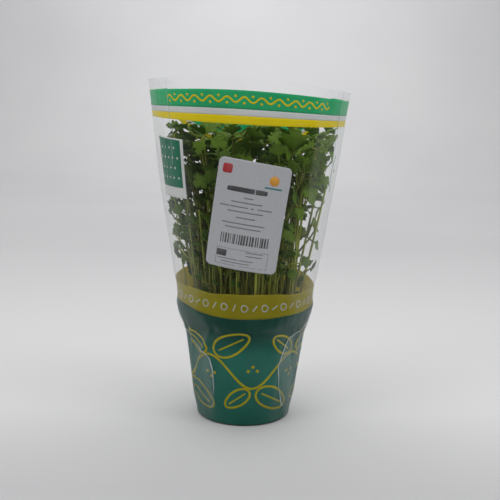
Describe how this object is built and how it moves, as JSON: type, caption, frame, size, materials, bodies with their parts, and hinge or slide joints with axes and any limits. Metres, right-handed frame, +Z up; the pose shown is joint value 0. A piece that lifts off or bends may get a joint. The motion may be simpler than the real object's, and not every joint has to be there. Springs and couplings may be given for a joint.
{
  "type": "potted parsley in a printed sleeve",
  "caption": "Flat-leaf parsley growing in a round nursery pot, wrapped in a tall flared clear film sleeve with printed bands and a sticker; stands upright on the pot.",
  "frame": {"origin": "on the ground under the middle of the pot, at the foot ring's underside", "axes": "+Z up along the pot's axis; the front of the sleeve, with the sticker, faces -Y; the wide way of the sleeve's mouth runs along X"},
  "size_m": [0.179, 0.1244, 0.3068],
  "materials": {
    "pot": "satin",
    "soil": "matte",
    "sleeve": "gloss",
    "green_print": "gloss",
    "yellow_print": "gloss",
    "label": "satin",
    "parsley": "satin"
  },
  "bodies": {
    "root": {"pot": "pot", "soil": "soil", "sleeve": "sleeve", "label": "label", "parsley_plant_01": "parsley", "parsley_plant_02": "parsley", "parsley_plant_03": "parsley", "parsley_plant_04": "parsley", "parsley_plant_05": "parsley", "parsley_plant_06": "parsley", "parsley_plant_07": "parsley", "parsley_plant_08": "parsley", "parsley_plant_09": "parsley", "parsley_plant_10": "parsley", "parsley_plant_11": "parsley", "parsley_plant_12": "parsley", "parsley_plant_13": "parsley", "parsley_plant_14": "parsley"}
  },
  "joints": []
}
